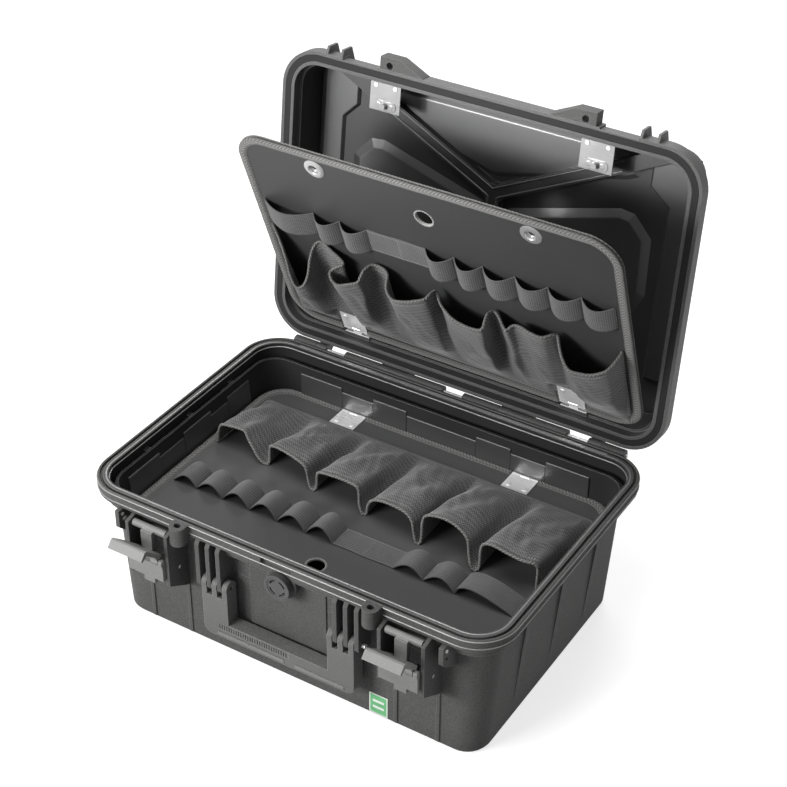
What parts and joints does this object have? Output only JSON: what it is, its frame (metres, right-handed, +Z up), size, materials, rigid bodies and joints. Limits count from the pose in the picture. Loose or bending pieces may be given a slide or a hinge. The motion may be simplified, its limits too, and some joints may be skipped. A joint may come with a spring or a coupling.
{
  "type": "hard tool case",
  "caption": "Hard plastic tool case with hinged lid, two draw latches, folding handle, vent knob and hinged pocket boards in base and lid.",
  "frame": {"origin": "middle of the base's flat bottom", "axes": "+X to the right seen from the latches, +Y towards the lid hinge, +Z up"},
  "size_m": [0.506, 0.4997, 0.5342],
  "materials": {
    "shell": "textured",
    "inner_board": "satin",
    "pocket_cloth": "woven",
    "loop_webbing": "woven",
    "binding_tape": "woven",
    "steel": "brushed",
    "seal": "matte",
    "latch_plastic": "satin",
    "trim": "satin",
    "label": "gloss"
  },
  "bodies": {
    "base": {"base_shell": "shell", "base_handle_fins": "shell", "base_latch_brackets": "shell", "base_strap_lugs": "shell", "base_padlock_bosses": "shell", "base_hinge_knuckles": "shell", "base_label": "label", "valve_body": "shell", "valve_cap": "inner_board", "valve_seal": "seal", "hinge_rod": "steel", "handle_pins": "steel", "latch_pins": "steel", "lug_pins": "steel", "base_board_rests": "shell", "base_board_leaves": "steel", "base_leaf_screws": "steel"},
    "lid": {"lid_shell": "shell", "lid_padlock_bosses": "shell", "lid_gasket": "seal", "lid_clip_plates": "steel", "lid_clip_springs": "steel", "lid_clip_screws": "steel", "lid_board_leaves": "steel", "lid_leaf_screws": "steel"},
    "lid_board": {"lid_panel": "inner_board", "lid_binding": "binding_tape", "lid_eyelets": "steel", "lid_finger_trim": "binding_tape", "lid_brackets": "steel", "lid_rivets": "steel", "lid_board_pins": "steel", "lid_pockets": "pocket_cloth", "lid_pocket_seams": "pocket_cloth", "lid_loops": "loop_webbing"},
    "base_board": {"base_panel": "inner_board", "base_binding": "binding_tape", "base_eyelets": "steel", "base_finger_trim": "binding_tape", "base_brackets": "steel", "base_rivets": "steel", "base_board_pins": "steel", "base_pockets": "pocket_cloth", "base_pocket_seams": "pocket_cloth", "base_loops": "loop_webbing"},
    "handle": {"handle": "shell", "handle_rib_strip": "trim", "handle_bar_strip": "trim"},
    "left_carrier": {"left_latch_carrier": "latch_plastic"},
    "left_claw": {"left_latch_claw": "latch_plastic"},
    "left_lever": {"left_latch_lever": "latch_plastic"},
    "right_carrier": {"right_latch_carrier": "latch_plastic"},
    "right_claw": {"right_latch_claw": "latch_plastic"},
    "right_lever": {"right_latch_lever": "latch_plastic"}
  },
  "joints": [
    {"name": "lid_hinge", "type": "hinge", "parent": "base", "child": "lid", "pos_m": [0, 0.179, 0.1705], "axis": [1, 0, 0], "range_deg": [0, 97]},
    {"name": "lid_board_hinge", "type": "hinge", "parent": "lid", "child": "lid_board", "pos_m": [0, 0.19673, 0.20086], "axis": [1, 0, 0], "range_deg": [-28, 0]},
    {"name": "base_board_hinge", "type": "hinge", "parent": "base", "child": "base_board", "pos_m": [0, 0.1461, 0.119], "axis": [1, 0, 0], "range_deg": [-65, 0]},
    {"name": "handle_swing", "type": "hinge", "parent": "base", "child": "handle", "pos_m": [0, -0.167, 0.107], "axis": [-1, 0, 0], "range_deg": [0, 90]},
    {"name": "left_latch_swing", "type": "hinge", "parent": "base", "child": "left_carrier", "pos_m": [-0.155, -0.1675, 0.107], "axis": [-1, 0, 0], "range_deg": [-30, 5]},
    {"name": "left_claw_slide", "type": "slide", "parent": "left_carrier", "child": "left_claw", "axis": [0, 0, 1], "range_m": [0, 0.037]},
    {"name": "left_lever_fold", "type": "hinge", "parent": "left_carrier", "child": "left_lever", "pos_m": [-0.155, -0.1883, 0.1234], "axis": [1, 0, 0], "range_deg": [0, 120]},
    {"name": "right_latch_swing", "type": "hinge", "parent": "base", "child": "right_carrier", "pos_m": [0.155, -0.1675, 0.107], "axis": [-1, 0, 0], "range_deg": [-30, 5]},
    {"name": "right_claw_slide", "type": "slide", "parent": "right_carrier", "child": "right_claw", "axis": [0, 0, 1], "range_m": [0, 0.037]},
    {"name": "right_lever_fold", "type": "hinge", "parent": "right_carrier", "child": "right_lever", "pos_m": [0.155, -0.1883, 0.1234], "axis": [1, 0, 0], "range_deg": [0, 120]}
  ],
  "couplings": [
    {"joint": "lid_board_hinge", "follows": "lid_hinge", "ratio": -0.28866}
  ]
}
